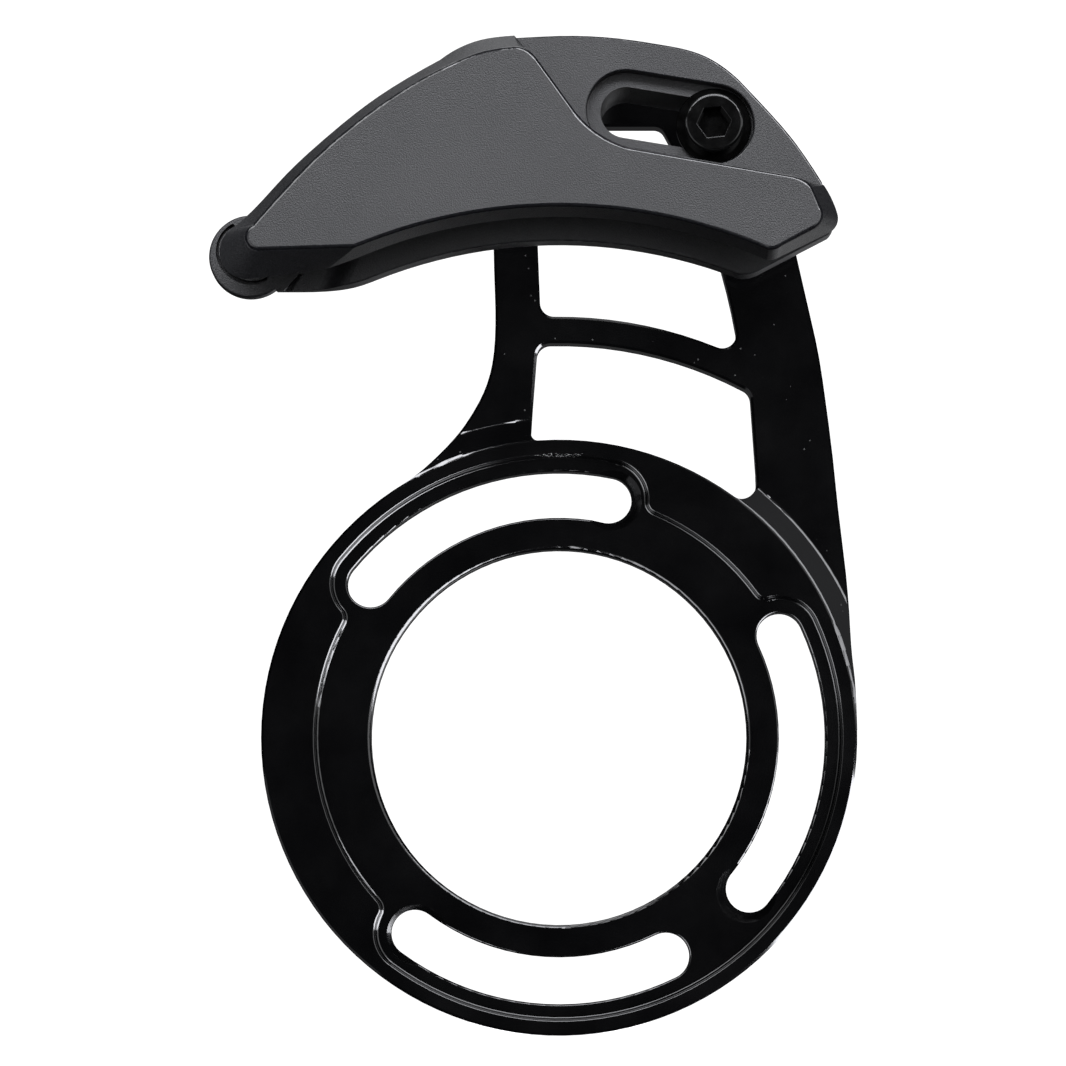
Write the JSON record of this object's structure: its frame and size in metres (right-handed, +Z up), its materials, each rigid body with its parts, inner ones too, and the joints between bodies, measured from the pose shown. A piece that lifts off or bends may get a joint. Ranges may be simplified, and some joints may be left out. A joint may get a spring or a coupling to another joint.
{
  "type": "bicycle chain guide",
  "caption": "Bicycle chain guide: a moulded upper guide that the chain runs through, clamped by a bolt to a black anodised backplate with a large bore and arc slots.",
  "frame": {"origin": "centre of the backplate's bore, on the back face of its ring", "axes": "+Y along the bore towards the bicycle frame, so the front faces -Y; +Z up, from the bore to the guide; +X towards the end of the guide away from its flared mouth"},
  "size_m": [0.0888, 0.026, 0.135],
  "materials": {
    "anodised_plate": "gloss black anodised",
    "moulding": "fine matte moulded texture",
    "bolt_steel": "black oxide",
    "washer_steel": "black oxide"
  },
  "bodies": {
    "backplate": {"backplate": "anodised_plate", "clamp_bolt": "bolt_steel", "clamp_washer": "washer_steel"},
    "guide": {"upper_guide": "moulding"}
  },
  "joints": [
    {"name": "guide_slide", "type": "slide", "parent": "backplate", "child": "guide", "axis": [0.9866, 0, -0.1633], "range_m": [0, 0.012]}
  ]
}
